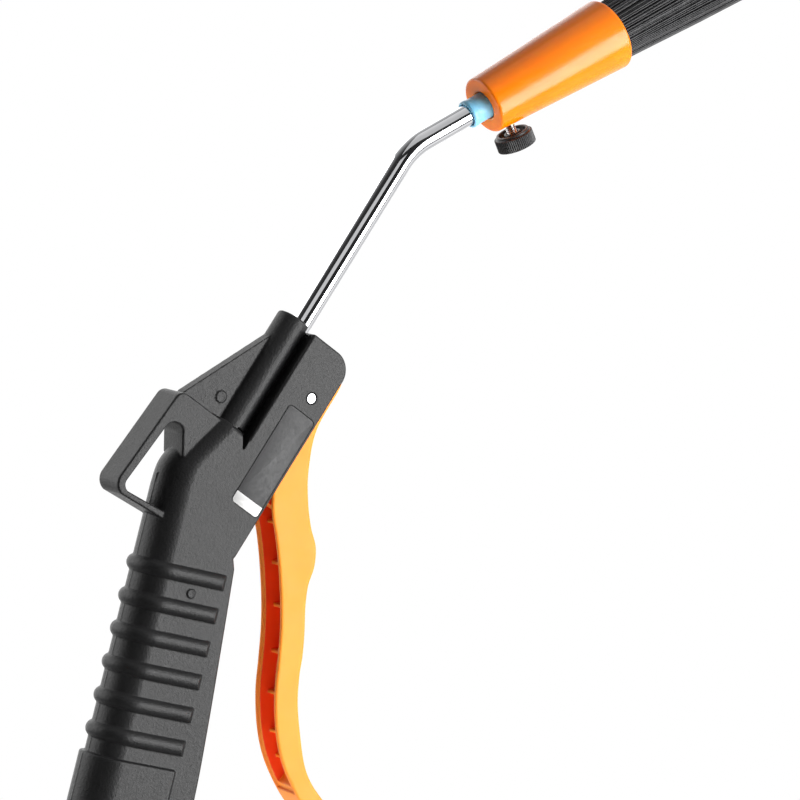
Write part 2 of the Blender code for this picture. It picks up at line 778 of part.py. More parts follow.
def make_bristles(brush):
    """The holder and the bundle of bristles, with an air passage through the middle of both."""
    start = HOLDER_START
    end = start + HOLDER_LENGTH
    clearance = FERRULE_WALL + GAP
    turned(
        "bristle_holder",
        [
            (AIR_HOLE, end),
            (ferrule_radius(end) - clearance, end),
            (ferrule_radius(start) - clearance, start),
            (AIR_HOLE, start),
        ],
        brush,
        "white_nylon",
    )
    root = end + GAP
    mouth = ferrule_radius(FERRULE_LENGTH) - FERRULE_WALL - 0.5
    tip = FERRULE_LENGTH + BRISTLE_LENGTH
    turned(
        "bristle_bundle",
        [
            (AIR_HOLE, tip),
            (mouth + BRISTLE_LENGTH * math.tan(BRISTLE_FLARE), tip),
            (mouth, FERRULE_LENGTH),
            (ferrule_radius(root) - clearance - 0.4, root),
            (AIR_HOLE, root),
        ],
        brush,
        "bristle_nylon",
        40,
    )


def make_thumb_screw(screw):
    """The insert, the pad, the shank and the knob, with Z outwards from the ferrule's axis."""
    ring("screw_insert", SCREW_RADIUS + GAP, 3.3, SLEEVE_RADIUS + 0.8, 10.9, screw, "brass", 24)
    cylinder("pressure_pad", 1.9, SLEEVE_RADIUS + GAP, SLEEVE_RADIUS + 1.5, screw, "white_nylon", 20)
    shank_top = KNOB_START + KNOB_HEIGHT - 1.2
    cylinder("screw_shank", SCREW_RADIUS, SLEEVE_RADIUS + 1.5 + GAP, shank_top, screw, "plated_steel", 24)
    teeth = []
    for i in range(2 * KNOB_TEETH):
        radius = KNOB_RADIUS - (0.35 if i % 2 else 0.0)
        angle = math.pi * i / KNOB_TEETH
        teeth.append((radius * math.cos(angle), radius * math.sin(angle)))
    knob = slab("thumb_knob", teeth, KNOB_HEIGHT / 2, screw, "black_knob", upright=False)
    knob.location.z += (KNOB_START + KNOB_HEIGHT / 2) * MM
    collar = cylinder("knob_collar", 5.9, KNOB_START - 1.1, KNOB_START + 1.0, screw)
    combine(knob, "UNION", collar)
    hole = cylinder("knob_hole", SCREW_RADIUS + GAP, 10.0, shank_top + GAP, screw, steps=24)
    combine(knob, "DIFFERENCE", hole)


# ---------------------------------------------------------------- assembly


def main():
    clear_scene()
    collection(COLLECTION)
    collection("construction")
    make_materials()

    grip = frame("grip_frame", BOSS_TOP_X, 0, BOSS_TOP_Z)
    boss = frame("boss_frame", 0, 0, 0, BOSS_LEAN, grip)
    lever_frame = frame("lever_frame", PIN_X, 0, PIN_Z, 0, boss)
    valve = frame("valve_frame", 0, 0, VALVE_Z, math.pi / 2, boss)
    inlet = frame("inlet_frame", INLET_X, 0, 0, 0, grip)
    face_x = VERTEX_TO_FACE * math.sin(NOZZLE_BEND)
    face_z = BEND_VERTEX + VERTEX_TO_FACE * math.cos(NOZZLE_BEND)
    brush = frame("brush_frame", face_x, 0, face_z, NOZZLE_BEND, boss)
    screw = frame("screw_frame", 0, 0, SCREW_STATION, math.pi / 2, brush)

    make_body(grip, boss, valve)
    make_lever(grip, lever_frame)
    make_pin(lever_frame)
    make_valve(valve)
    make_inlet(inlet)
    make_nozzle(boss)
    make_sleeve(brush)
    make_ferrule(brush, screw)
    make_bristles(brush)
    make_thumb_screw(screw)


main()
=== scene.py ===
"""The looks of the air duster gun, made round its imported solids.

Lengths are millimetres in the frames of the gun's parts, and become metres when a piece is finished.
"""

import math
import random

import bmesh
import bpy
from mathutils import Matrix, Quaternion, Vector


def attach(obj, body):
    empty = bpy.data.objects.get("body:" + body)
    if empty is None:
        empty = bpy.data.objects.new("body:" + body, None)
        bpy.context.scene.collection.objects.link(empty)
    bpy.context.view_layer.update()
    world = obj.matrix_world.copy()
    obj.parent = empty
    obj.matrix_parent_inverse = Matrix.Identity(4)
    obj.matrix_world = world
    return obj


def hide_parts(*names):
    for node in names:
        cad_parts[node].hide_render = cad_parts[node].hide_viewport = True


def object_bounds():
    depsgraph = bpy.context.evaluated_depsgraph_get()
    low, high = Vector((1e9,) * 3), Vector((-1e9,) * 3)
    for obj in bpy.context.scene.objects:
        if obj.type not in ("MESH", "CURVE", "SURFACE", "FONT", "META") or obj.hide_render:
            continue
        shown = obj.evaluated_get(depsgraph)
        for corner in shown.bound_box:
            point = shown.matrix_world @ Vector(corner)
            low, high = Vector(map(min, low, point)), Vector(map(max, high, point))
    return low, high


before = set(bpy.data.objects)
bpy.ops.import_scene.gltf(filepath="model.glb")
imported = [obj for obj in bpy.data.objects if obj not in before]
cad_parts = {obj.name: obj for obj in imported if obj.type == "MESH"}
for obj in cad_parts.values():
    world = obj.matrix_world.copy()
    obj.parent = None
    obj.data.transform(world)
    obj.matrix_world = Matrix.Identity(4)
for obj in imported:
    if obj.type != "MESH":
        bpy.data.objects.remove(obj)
cad_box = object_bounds()

MM = 0.001
GAP = 0.3

# Frames, as the solids have them: +Z up along the grip, +X forwards, Y = 0 the plane of symmetry.
BOSS_TOP = Vector((44.6, 0.0, 45.2))
BOSS_LEAN = math.radians(20.5)
NOZZLE_BEND = math.radians(29.0)
BEND_RADIUS = 28.0
BEND_VERTEX = 77.4
VERTEX_TO_FACE = 35.0
PIN = (14.0, -21.7)
VALVE_Z = -58.0
INLET_X = -25.0
SCREW_STATION = 7.4

GRIP = Matrix.Translation(BOSS_TOP)
BOSS = GRIP @ Matrix.Rotation(BOSS_LEAN, 4, "Y")
VALVE = BOSS @ Matrix.Translation((0, 0, VALVE_Z)) @ Matrix.Rotation(math.pi / 2, 4, "Y")
PIVOT = BOSS @ Matrix.Translation((PIN[0], 0, PIN[1])) @ Matrix.Rotation(-math.pi / 2, 4, "X")
INLET = GRIP @ Matrix.Translation((INLET_X, 0, 0))
FACE = (VERTEX_TO_FACE * math.sin(NOZZLE_BEND), 0, BEND_VERTEX + VERTEX_TO_FACE * math.cos(NOZZLE_BEND))
BRUSH = BOSS @ Matrix.Translation(FACE) @ Matrix.Rotation(NOZZLE_BEND, 4, "Y")
SCREW = BRUSH @ Matrix.Translation((0, 0, SCREW_STATION)) @ Matrix.Rotation(math.pi / 2, 4, "Y")

# Grip and block.
BODY_HALF = 10.5
BACK_HALF = 10.55
GRIP_BOTTOM = -205.0
GRIP_EDGE = 1.2
SPINE_X = -43.3
BACK_DEPTH = 10.2
PLATE_REAR = 1.3
PLATE_FRONT = 21.8
BLOCK_TOP = -2.0
BLOCK_BOTTOM = -85.7
BLOCK_CORNER = 8.0
BLOCK_EDGE = 0.8
SHELF_Z = -46.5
SHELF_ROUND = 2.4
RIB_RADIUS = 3.2
RIB_RISE = 1.7
RIB_TOP_Z = -97.0
RIB_PITCH = 12.2
RIB_COUNT = 6
RIB_FRONT_X = -10.8
CUFF_TOP_Z = -166.3
CUFF_RISE = 1.1
CUFF_REAR = -45.3
CUFF_FRONT_X = -11.2
PANEL_REAR = 7.6
PANEL_FRONT = 20.6
PANEL_TOP = -28.0
PANEL_FOOT = -69.2
PANEL_CORNER = 1.6
STRIP_TOP = -64.6
HOOK_HALF = 7.3
WEB_HALF = 2.4
BOSS_RADIUS = 6.3
BOSS_X = -3.6

# Brush head.
SLEEVE_RADIUS = 5.1
FERRULE_SMALL = 10.9
FERRULE_BIG = 14.0
FERRULE_LENGTH = 61.0
FERRULE_WALL = 1.7
SOCKET_DEPTH = 22.0
BRISTLE_LENGTH = 75.0
BRISTLE_ROOT = 36.3
BRISTLE_FLARE = math.tan(math.radians(3.2))
AIR_HOLE = 4.2

# Lever.
LEVER_HALF = 7.85
LEVER_WALL = 2.2
LEVER_FRONT_WALL = 2.4
LEVER_RIB_DROP = 4.4
LEVER_RIB_LENGTHS = (22.0, 37.0, 52.5, 69.0, 84.5, 100.0, 111.0)


# ---------------------------------------------------------------- outlines


def arc(x, z, radius, start, end, steps):
    """Points on a circle from one angle to another, in degrees."""
    angles = [math.radians(start + (end - start) * i / steps) for i in range(steps + 1)]
    return [(x + radius * math.cos(a), z + radius * math.sin(a)) for a in angles]


def circle(x, z, radius, steps=72):
    return arc(x, z, radius, 0, 360 - 360 / steps, steps - 1)


def to_grip(x, z):
    """A point of the boss frame in the grip frame."""
    return (
        x * math.cos(BOSS_LEAN) + z * math.sin(BOSS_LEAN),
        -x * math.sin(BOSS_LEAN) + z * math.cos(BOSS_LEAN),
    )


def blend(t, before, start, end, after):
    """A value between start and end on a Catmull-Rom curve."""
    slope = end - before
    square = 2 * before - 5 * start + 4 * end - after
    cube = 3 * start - before - 3 * end + after
    return 0.5 * (2 * start + slope * t + square * t**2 + cube * t**3)


def smooth(points, steps):
    """A Catmull-Rom curve through the points."""
    ends = [points[0], *points, points[-1]]
    curve = []
    for a, b, c, d in zip(ends, ends[1:], ends[2:], ends[3:]):
        for i in range(steps):
            t = i / steps
            curve.append(tuple(blend(t, *values) for values in zip(a, b, c, d)))
    return [*curve, points[-1]]


def offset(points, distance):
    """The open line moved sideways: to its left for a positive distance."""
    moved = []
    for i, point in enumerate(points):
        before = Vector(points[max(i - 1, 0)])
        after = Vector(points[min(i + 1, len(points) - 1)])
        along = (after - before).normalized()
        moved.append((point[0] - along.y * distance, point[1] + along.x * distance))
    return moved


def walk(points, distance):
    """The point at a distance along an open line, and the line's direction there."""
    for a, b in zip(points, points[1:]):
        step = Vector(b) - Vector(a)
        if distance <= step.length:
            return Vector(a) + step.normalized() * distance, step.normalized()
        distance -= step.length
    raise ValueError("the line is shorter than the distance")


def rounded(profile, radius, steps=5):
    """A closed profile with its corners off the axis rounded."""
    curve = []
    for i, corner in enumerate(profile):
        if corner[0] == 0:
            curve.append(corner)
            continue
        here = Vector(corner)
        arms = [Vector(profile[i - 1]) - here, Vector(profile[(i + 1) % len(profile)]) - here]
        start, end = (here + arm.normalized() * min(radius, arm.length * 0.49) for arm in arms)
        for k in range(steps + 1):
            t = k / steps
            curve.append(tuple(start * (1 - t) ** 2 + here * 2 * t * (1 - t) + end * t**2))
    return curve


# ---------------------------------------------------------------- shapes


def finish_mesh(name, work, place_in, material=None):
    """A bmesh in a frame's millimetres, as an object in metres. Construction shapes have no material."""
    work.transform(Matrix.Scale(MM, 4) @ place_in)
    bmesh.ops.recalc_face_normals(work, faces=work.faces)
    mesh = bpy.data.meshes.new(name)
    work.to_mesh(mesh)
    work.free()
    mesh.shade_smooth()
    made = bpy.data.objects.new(name, mesh)
    bpy.context.scene.collection.objects.link(made)
    if material:
        mesh.materials.append(material)
    return made


def skin(work, rings, closed):
    """Faces between rings of vertices. A ring whose vertices are all one point closes the end."""
    following = rings[1:] + rings[:1] if closed else rings[1:]
    for a, b in zip(rings, following):
        for i in range(len(a)):
            j = (i + 1) % len(a)
            corners = list(dict.fromkeys((a[i], a[j], b[j], b[i])))
            if len(corners) > 2:
                work.faces.new(corners)


def turned(name, profile, place_in, material=None, steps=96, flutes=0, flute_depth=0.0, flute_from=0.0):
    """A closed profile of (radius, z) turned about Z, with straight grooves in what lies past a radius."""
    work = bmesh.new()
    rings = []
    for radius, z in profile:
        if radius == 0:
            rings.append([work.verts.new((0, 0, z))] * steps)
            continue
        points = []
        for i in range(steps):
            angle = 2 * math.pi * i / steps
            depth = flute_depth * (0.5 - 0.5 * math.cos(flutes * angle)) if radius > flute_from else 0.0
            reach = radius - depth
            points.append(work.verts.new((reach * math.cos(angle), reach * math.sin(angle), z)))
        rings.append(points)
    skin(work, rings, True)
    return finish_mesh(name, work, place_in, material)


def threaded(name, root, crest, pitch, low, high, place_in, material):
    """A rod with a screw thread, with tapered ends."""
    steps = 48
    work = bmesh.new()
    rows = int((high - low) / pitch * 8)
    rings = [[work.verts.new((0, 0, low))] * steps]
    for k in range(rows + 1):
        z = low + (high - low) * k / rows
        taper = min(1.0, (z - low) / pitch, (high - z) / pitch)
        points = []
        for i in range(steps):
            phase = (z / pitch - i / steps) % 1.0
            ridge = min(1.0, 1.35 * (1 - abs(2 * phase - 1)))
            radius = root - 0.25 * (1 - taper) + (crest - root) * ridge * taper
            angle = 2 * math.pi * i / steps
            points.append(work.verts.new((radius * math.cos(angle), radius * math.sin(angle), z)))
        rings.append(points)
    rings.append([work.verts.new((0, 0, high))] * steps)
    skin(work, rings, False)
    return finish_mesh(name, work, place_in, material)


def slab(name, outline, half, place_in, width=0.0, segments=4, upright=True, material=None, angle=50.0):
    """A flat outline with thickness: across Y if upright, or along Z. Its sharp edges can be rounded."""
    work = bmesh.new()
    sides = []
    for depth in (-half, half):
        sides.append([work.verts.new((x, depth, z) if upright else (x, z, depth)) for x, z in outline])
    work.faces.new(sides[0][::-1])
    work.faces.new(sides[1])
    for i in range(len(outline)):
        work.faces.new((sides[0][i - 1], sides[0][i], sides[1][i], sides[1][i - 1]))
    bmesh.ops.recalc_face_normals(work, faces=work.faces)
    if width:
        sharp = [e for e in work.edges if e.calc_face_angle(0.0) > math.radians(angle)]
        bmesh.ops.bevel(work, geom=sharp, offset=width, segments=segments, profile=0.5, affect="EDGES")
    return finish_mesh(name, work, place_in, material)


def swept(name, points, radii, place_in, material=None, sides=24, side_axis=(0, 1, 0)):
    """A round bar along a line in the plane that the side axis is normal to, with a radius at each point."""
    work = bmesh.new()
    across = Vector(side_axis)
    line = [Vector(p) for p in points]
    rings = [[work.verts.new(line[0])] * sides]
    for i, (point, radius) in enumerate(zip(line, radii)):
        along = (line[min(i + 1, len(line) - 1)] - line[max(i - 1, 0)]).normalized()
        up = along.cross(across)
        ring = []
        for k in range(sides):
            turn = 2 * math.pi * k / sides
            ring.append(work.verts.new(point + (across * math.cos(turn) + up * math.sin(turn)) * radius))
        rings.append(ring)
    rings.append([work.verts.new(line[-1])] * sides)
    skin(work, rings, False)
    return finish_mesh(name, work, place_in, material)


def freeze(target):
    """Applies the modifiers."""
    graph = bpy.context.evaluated_depsgraph_get()
    mesh = bpy.data.meshes.new_from_object(target.evaluated_get(graph))
    target.modifiers.clear()
    old = target.data
    target.data = mesh
    bpy.data.meshes.remove(old)


def combine(target, operation, *tools):
    """Joins solids to the target, cuts them from it or keeps what they share with it."""
    for tool in tools:
        step = target.modifiers.new(tool.name, "BOOLEAN")
        step.operation = operation
        step.solver = "EXACT"
        step.object = tool
    freeze(target)
    for tool in tools:
        bpy.data.objects.remove(tool, do_unlink=True)


def mould(target, name, material, voxel, rounds, keep):
    """Turns joined solids into one moulded skin with softened edges and inside corners."""
    remesh = target.modifiers.new("skin", "REMESH")
    remesh.mode = "VOXEL"
    remesh.voxel_size = voxel * MM
    soften = target.modifiers.new("soften", "SMOOTH")
    soften.factor = 0.5
    soften.iterations = rounds
    thin = target.modifiers.new("thin", "DECIMATE")
    thin.ratio = keep
    freeze(target)
    target.name = name
    target.data.materials.clear()
    target.data.materials.append(material)
    target.data.shade_smooth()
    return target


def use(piece, body, slot, *nodes):
    """Puts a finished piece on its body and in place of its solids. The slot is not used."""
    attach(piece, body)
    if nodes:
        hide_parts(*nodes)
    return piece


# ---------------------------------------------------------------- materials


class Nodes:
    """A material's node tree, with short ways to add to it."""

    def __init__(self, name, colour, roughness, metallic=0.0, **settings):
        self.material = bpy.data.materials.new(name)
        self.material.use_nodes = True
        self.tree = self.material.node_tree
        self.shader = self.tree.nodes["Principled BSDF"]
        self.shader.inputs["Base Color"].default_value = (*colour, 1.0)
        self.shader.inputs["Roughness"].default_value = roughness
        self.shader.inputs["Metallic"].default_value = metallic
        for label, value in settings.items():
            self.shader.inputs[label.replace("_", " ")].default_value = value
        self.place = self.add("ShaderNodeTexCoord").outputs["Object"]

    def add(self, kind, **settings):
        node = self.tree.nodes.new(kind)
        for label, value in settings.items():
            setattr(node, label, value)
        return node

    def link(self, output, target):
        self.tree.links.new(output, target)

    def noise(self, scale, detail=3.0, stretch=(1.0, 1.0, 1.0)):
        """A noise whose scale counts features to a metre."""
        mapping = self.add("ShaderNodeMapping")
        mapping.inputs["Scale"].default_value = stretch
        self.link(self.place, mapping.inputs["Vector"])
        texture = self.add("ShaderNodeTexNoise")
        texture.inputs["Scale"].default_value = scale
        texture.inputs["Detail"].default_value = detail
        self.link(mapping.outputs["Vector"], texture.inputs["Vector"])
        return texture.outputs["Fac"]

    def span(self, value, low, high, from_low=0.3, from_high=0.7):
        ranged = self.add("ShaderNodeMapRange")
        ranged.inputs["From Min"].default_value = from_low
        ranged.inputs["From Max"].default_value = from_high
        ranged.inputs["To Min"].default_value = low
        ranged.inputs["To Max"].default_value = high
        self.link(value, ranged.inputs["Value"])
        return ranged.outputs["Result"]

    def roughness(self, value, low, high):
        self.link(self.span(value, low, high), self.shader.inputs["Roughness"])

    def colours(self, value, *stops):
        ramp = self.add("ShaderNodeValToRGB")
        entries = ramp.color_ramp.elements
        while len(entries) < len(stops):
            entries.new(0.5)
        for entry, (position, colour) in zip(entries, stops):
            entry.position = position
            entry.color = (*colour, 1.0)
        self.link(value, ramp.inputs["Fac"])
        return ramp.outputs["Color"]

    def colour(self, value, *stops):
        self.link(self.colours(value, *stops), self.shader.inputs["Base Color"])

    def bump(self, *layers):
        """Height layers of (value, depth in metres), one on the other."""
        normal = None
        for value, depth in layers:
            bump = self.add("ShaderNodeBump")
            bump.inputs["Strength"].default_value = 1.0
            bump.inputs["Distance"].default_value = depth
            self.link(value, bump.inputs["Height"])
            if normal:
                self.link(normal, bump.inputs["Normal"])
            normal = bump.outputs["Normal"]
        self.link(normal, self.shader.inputs["Normal"])


def black_nylon():
    """Glass-filled nylon: a fine spark-eroded grain over a faint cloudiness."""
    nodes = Nodes("moulded_black_nylon", (0.008, 0.008, 0.0083), 0.45)
    cloud = nodes.noise(60, 4.0)
    nodes.colour(cloud, (0.3, (0.0065, 0.0065, 0.0068)), (0.7, (0.0095, 0.0095, 0.0099)))
    nodes.roughness(nodes.noise(1500, 4.0), 0.4, 0.5)
    nodes.bump((nodes.noise(2600, 2.0), 0.00007), (nodes.noise(1100, 4.0), 0.00014))
    return nodes.material


def orange_plastic(name, colour, deep, roughness):
    """Smooth polypropylene, a little translucent, with a faint flow unevenness."""
    nodes = Nodes(name, colour, roughness, Subsurface_Weight=0.15)
    nodes.shader.inputs["Subsurface Radius"].default_value = (1.0, 0.3, 0.05)
    nodes.shader.inputs["Subsurface Scale"].default_value = 0.0015
    nodes.colour(nodes.noise(45, 4.0), (0.25, deep), (0.75, colour))
    nodes.roughness(nodes.noise(160, 3.0), roughness - 0.03, roughness + 0.04)
    nodes.bump((nodes.noise(260, 2.0), 0.000015), (nodes.noise(2400, 2.0), 0.000003))
    return nodes.material


def blue_plastic():
    nodes = Nodes("blue_sleeve_plastic", (0.26, 0.6, 0.8), 0.3, Subsurface_Weight=0.15)
    nodes.shader.inputs["Subsurface Radius"].default_value = (0.2, 0.6, 1.0)
    nodes.shader.inputs["Subsurface Scale"].default_value = 0.001
    nodes.colour(nodes.noise(120, 4.0), (0.3, (0.2, 0.53, 0.76)), (0.7, (0.3, 0.64, 0.84)))
    nodes.roughness(nodes.noise(500, 4.0), 0.24, 0.36)
    nodes.bump((nodes.noise(900, 3.0), 0.00002))
    return nodes.material


def chrome():
    """Bright plating, faintly clouded by handling."""
    nodes = Nodes("chrome_plating", (0.86, 0.87, 0.89), 0.06, 1.0)
    nodes.colour(nodes.noise(160, 5.0), (0.3, (0.82, 0.83, 0.85)), (0.7, (0.9, 0.9, 0.92)))
    nodes.roughness(nodes.noise(300, 4.0), 0.05, 0.08)
    return nodes.material


def metal(name, light, dark, roughness, scale=300):
    nodes = Nodes(name, light, roughness, 1.0)
    nodes.colour(nodes.noise(scale / 4, 5.0), (0.3, dark), (0.7, light))
    nodes.roughness(nodes.noise(scale, 5.0), roughness - 0.08, roughness + 0.1)
    nodes.bump((nodes.noise(scale * 5, 3.0), 0.000012))
    return nodes.material


def plain(name, light, dark, roughness, scale, depth, **settings):
    """A non-metal with cloudy colour and a fine uneven surface."""
    nodes = Nodes(name, light, roughness, **settings)
    nodes.colour(nodes.noise(scale / 6, 4.0), (0.3, dark), (0.7, light))
    nodes.roughness(nodes.noise(scale / 2, 4.0), roughness - 0.06, roughness + 0.08)
    nodes.bump((nodes.noise(scale, 3.0), depth))
    return nodes.material


def make_materials():
    return {
        "black_nylon": black_nylon(),
        "orange_plastic": orange_plastic("orange_lever_plastic", (1.0, 0.29, 0.01), (0.97, 0.265, 0.007), 0.5),
        # A deeper red orange for the lever channel's side walls: painted shade and painted red bounce light.
        "channel_shade_orange": orange_plastic("orange_lever_painted_shade", (1.0, 0.07, 0.002), (0.95, 0.055, 0.001), 0.5),
        "ferrule_plastic": orange_plastic("orange_ferrule_plastic", (1.0, 0.22, 0.0), (0.96, 0.19, 0.0), 0.2),
        "blue_plastic": blue_plastic(),
        "chromed_steel": chrome(),
        "plated_steel": metal("zinc_plated_steel", (0.74, 0.75, 0.77), (0.6, 0.6, 0.62), 0.24),
        "brass": metal("turned_brass", (0.78, 0.56, 0.25), (0.62, 0.42, 0.17), 0.28),
        "rubber": plain("nitrile_rubber", (0.025, 0.025, 0.026), (0.016, 0.016, 0.017), 0.68, 1800, 0.00002),
        "bristle_nylon": plain("bristle_filament", (0.035, 0.035, 0.037), (0.01, 0.01, 0.011), 0.3, 1500, 0.00001),
        "black_knob": plain("black_oxide", (0.03, 0.03, 0.031), (0.018, 0.018, 0.019), 0.36, 2400, 0.00001),
        "white_nylon": plain("natural_nylon", (0.78, 0.77, 0.73), (0.7, 0.69, 0.64), 0.5, 1200, 0.00002),
        "plate": plain("printed_plate", (0.02, 0.02, 0.021), (0.014, 0.014, 0.015), 0.42, 2000, 0.00001),
        "strip": plain("white_ink", (0.86, 0.86, 0.85), (0.76, 0.76, 0.75), 0.55, 1600, 0.00001),
    }


# ---------------------------------------------------------------- body


def spine_line(steps):
    """The back of the grip in the side view, from its foot to the shelf."""
    bend = [(SPINE_X, -68.0), (-42.2, -59.5), (-37.4, -51.2), (-31.6, -43.0), (-28.0, -38.0)]
    return [(SPINE_X, GRIP_BOTTOM), *smooth(bend, steps)]


def grip_outline():
    """The side view of the grip, past its back and past the shelf, with its front edge true."""
    front = [(-8.2, -91.5), (-5.8, -117.0), (-2.9, -150.0), (-1.3, -175.0), (-1.0, GRIP_BOTTOM)]
    rear = SPINE_X - 8.0
    block = [to_grip(PLATE_REAR + 3.0, SHELF_Z + 6.5), to_grip(PLATE_FRONT, BLOCK_BOTTOM)]
    return [*block, *smooth(front, 8), (rear, GRIP_BOTTOM), (rear, -20.0)]


def block_outline():
    """The side view of the valve block, in the boss frame."""
    corner = arc(PLATE_FRONT - BLOCK_CORNER, BLOCK_TOP - BLOCK_CORNER, BLOCK_CORNER, 90, 0, 24)
    foot = [(PLATE_FRONT, BLOCK_BOTTOM), (PLATE_REAR, BLOCK_BOTTOM + 7.7)]
    return [(PLATE_REAR, BLOCK_TOP), *corner, *foot]


def grip_section(spine, depth, half, front, steps=48):
    """The plan view of the grip: flat sides and a back that is half an ellipse."""
    start = spine + depth
    back = [
        (start - depth * math.sin(a), half * math.cos(a))
        for a in (math.pi * i / steps for i in range(steps + 1))
    ]
    return [(front, half), *back, (front, -half)]


def make_grip_loft():
    """The grip's round back: sections along the spine line, as a solid that reaches far forwards."""
    work = bmesh.new()
    rings = []
    for x, z in spine_line(10):
        section = grip_section(x, BACK_DEPTH, BACK_HALF, 80.0)
        rings.append([work.verts.new((a, b, z)) for a, b in section])
    skin(work, rings, False)
    work.faces.new(rings[0][::-1])
    work.faces.new(rings[-1])
    return finish_mesh("loft", work, GRIP)


def hook_outline():
    """The side view of the hook: a band from the shelf down, round a corner and back to the grip."""
    outer = [(0.0, -47.2), *arc(-27.8, -50.9, 3.7, 90, 175, 12)]
    outer += arc(-28.6, -85.2, 5.2, 183, 262, 12)
    outer += [(-8.0, -88.6)]
    inner = [(-8.0, -86.0), *arc(-27.4, -85.0, 3.0, 265, 185, 12)]
    inner += arc(-24.6, -61.5, 3.8, 172, 20, 20)
    inner += [(-16.8, -66.2), (-8.0, -70.0)]
    return [*outer, *inner]


def make_ribs():
    """Six half-round ribs that wrap the back and end in slanted facets on the sides."""
    depth = RIB_RADIUS - RIB_RISE
    section = grip_section(SPINE_X + depth, BACK_DEPTH - depth, BACK_HALF - depth, RIB_FRONT_X + 3.0)
    side = BACK_HALF - 0.3
    slant = 9.0
    plan = [(-80.0, -side - slant), (RIB_FRONT_X - slant, -side - slant), (RIB_FRONT_X, -side)]
    plan += [(x, -y) for x, y in reversed(plan)]
    ribs = []
    for i in range(RIB_COUNT):
        line = [(x, y, RIB_TOP_Z - i * RIB_PITCH) for x, y in section]
        rib = swept(f"rib_{i + 1}", line, [RIB_RADIUS] * len(line), GRIP, side_axis=(0, 0, 1))
        combine(rib, "INTERSECT", slab("rib_ends", plan, 300.0, GRIP, upright=False))
        ribs.append(rib)
    return ribs


def make_cuff():
    """The thicker band round the back and the sides at the foot of the grip."""
    section = grip_section(CUFF_REAR, BACK_DEPTH + 1.5, BACK_HALF + CUFF_RISE, CUFF_FRONT_X - 2.0)
    outline = [(CUFF_FRONT_X, BACK_HALF - 1.0), *section, (CUFF_FRONT_X, 1.0 - BACK_HALF)]
    middle = GRIP @ Matrix.Translation((0, 0, (CUFF_TOP_Z + GRIP_BOTTOM) / 2))
    return slab("cuff", outline, (CUFF_TOP_Z - GRIP_BOTTOM) / 2, middle, 0.8, 3, upright=False, angle=60.0)


def make_shelf():
    """Everything below the round-edged shelf where the grip ends behind the block."""
    outline = [(-70.0, SHELF_Z), (70.0, SHELF_Z), (70.0, -320.0), (-70.0, -320.0)]
    return slab("shelf", outline, BODY_HALF, BOSS, SHELF_ROUND, 8)


def make_shelf_pockets():
    """Two wedge-shaped pockets in the shelf, against the block, on both sides of the boss."""
    wedge = [(-3.4, SHELF_Z + 1.0), (PLATE_REAR, SHELF_Z + 1.0), (PLATE_REAR, -52.2)]
    return [slab("shelf_pocket", wedge, 3.5, BOSS @ Matrix.Translation((0, y, 0))) for y in (-8.2, 8.2)]


def make_parting_lines():
    """The low ridge where the halves of the mould met, down the back of the grip and of the cuff."""
    lines = []
    ridges = (("back", SPINE_X, -64.0, CUFF_TOP_Z), ("cuff", CUFF_REAR, CUFF_TOP_Z - 1.0, GRIP_BOTTOM))
    for name, x, high, low in ridges:
        points = [(x + 0.22, 0.0, high + (low - high) * i / 20) for i in range(21)]
        lines.append(swept(f"{name}_ridge", points, [0.45] * 21, GRIP, sides=16))
    return lines


def cutter(name, radius, low, high, place_in, x=0.0):
    """A round cutter along a frame's Z."""
    at = place_in @ Matrix.Translation((x, 0, 0))
    return turned(name, [(0, high), (radius, high), (radius, low), (0, low)], at, steps=64)


def panel_outline(inset=0.0, top=PANEL_TOP):
    """A tall rectangle on the block's left side, with round corners at its foot and perhaps its top."""
    low_x, high_x = PANEL_REAR + inset, PANEL_FRONT - inset
    low_z, high_z = PANEL_FOOT + inset, top - inset
    foot = PANEL_CORNER - inset
    head = foot if top == PANEL_TOP else 0.1
    outline = arc(high_x - head, high_z - head, head, 90, 0, 6)
    outline += arc(high_x - foot, low_z + foot, foot, 0, -90, 6)
    outline += arc(low_x + foot, low_z + foot, foot, -90, -180, 6)
    outline += arc(low_x + head, high_z - head, head, 180, 90, 6)
    return outline


def ejector_mark(name, x, z, y, radius):
    """A low, slightly dished round mark that a mould's ejector pin leaves, on the left of a plane."""
    at = GRIP @ Matrix.Translation((x, y, z)) @ Matrix.Rotation(math.pi / 2, 4, "X")
    profile = [(0, 0.3), (radius * 0.5, 0.32), (radius - 0.25, 0.45), (radius, 0.35), (radius + 0.1, -1.0), (0, -1.0)]
    return turned(name, profile, at, steps=48)


